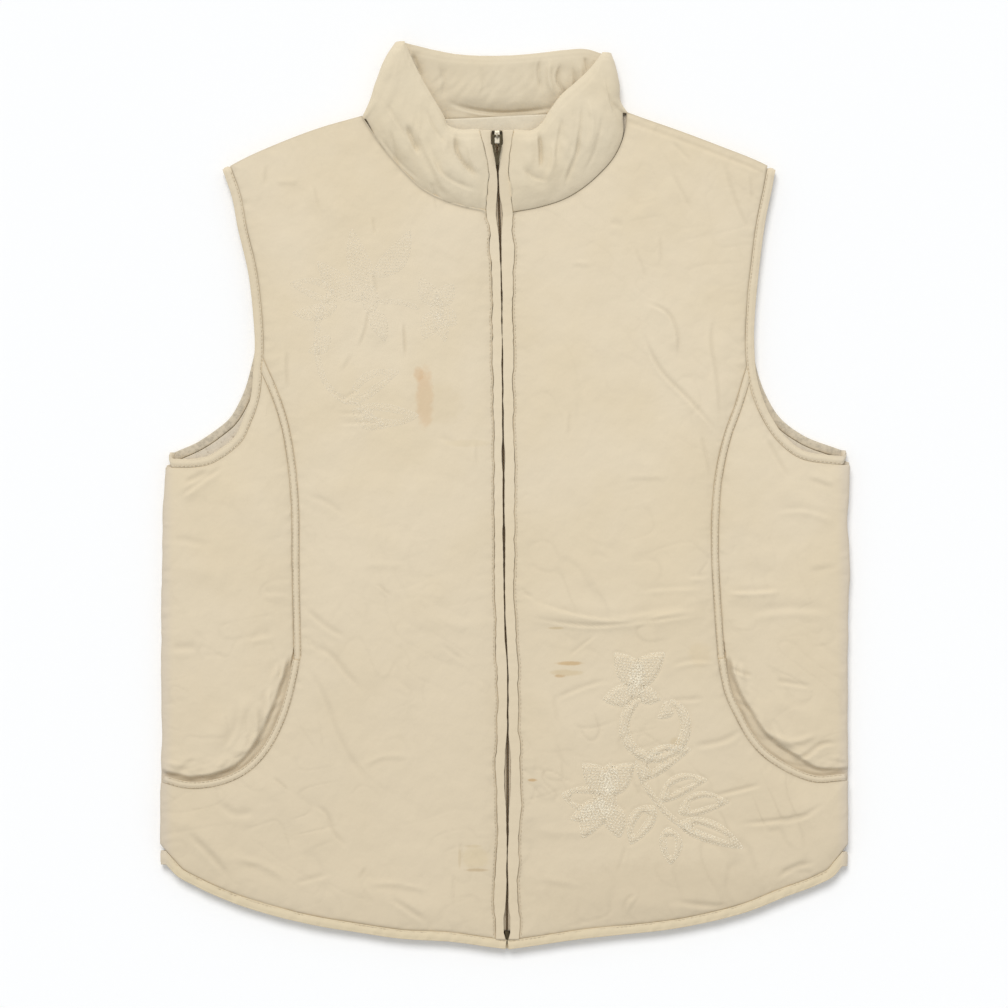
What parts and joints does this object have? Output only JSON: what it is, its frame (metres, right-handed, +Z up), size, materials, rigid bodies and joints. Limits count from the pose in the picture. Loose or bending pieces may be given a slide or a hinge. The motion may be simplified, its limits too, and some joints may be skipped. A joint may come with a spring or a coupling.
{
  "type": "waistcoat",
  "caption": "Padded sleeveless zip-up waistcoat with a stand collar, scooped pockets and tone-on-tone floral embroidery, laid flat front up.",
  "frame": {"origin": "middle of the garment's footprint, on the table that it lies on", "axes": "+X towards the wearer's left, +Y from hem to collar, +Z up off the table and out of the front"},
  "size_m": [0.517, 0.6794, 0.0214],
  "materials": {
    "shell": "fine matt cream weave over wadding",
    "lining": "grey-beige lining cloth",
    "binding": "self-fabric binding, lightly puckered",
    "zip_tape": "woven zip tape",
    "zip_metal": "dark antique metal"
  },
  "bodies": {
    "waistcoat": {"back": "shell", "neck_facing": "lining", "front_right": "shell", "side_right": "shell", "armhole_band_right": "binding", "seam_strip_right": "shell", "pocket_band_right": "shell", "placket_right": "shell", "front_left": "shell", "side_left": "shell", "armhole_band_left": "binding", "seam_strip_left": "shell", "pocket_band_left": "shell", "placket_left": "shell", "hem_binding": "binding", "collar": "shell", "zip_tape_right": "zip_tape", "zip_tape_left": "zip_tape", "zip_chain": "zip_metal", "zip_box": "zip_metal", "zip_slider": "zip_metal"},
    "pull": {"zip_pull": "zip_metal"}
  },
  "joints": [
    {"name": "pull_tab_hinge", "type": "hinge", "parent": "waistcoat", "child": "pull", "pos_m": [-0.006, 0.27, 0.0192], "axis": [-1, 0, 0], "range_deg": [0, 150]}
  ]
}
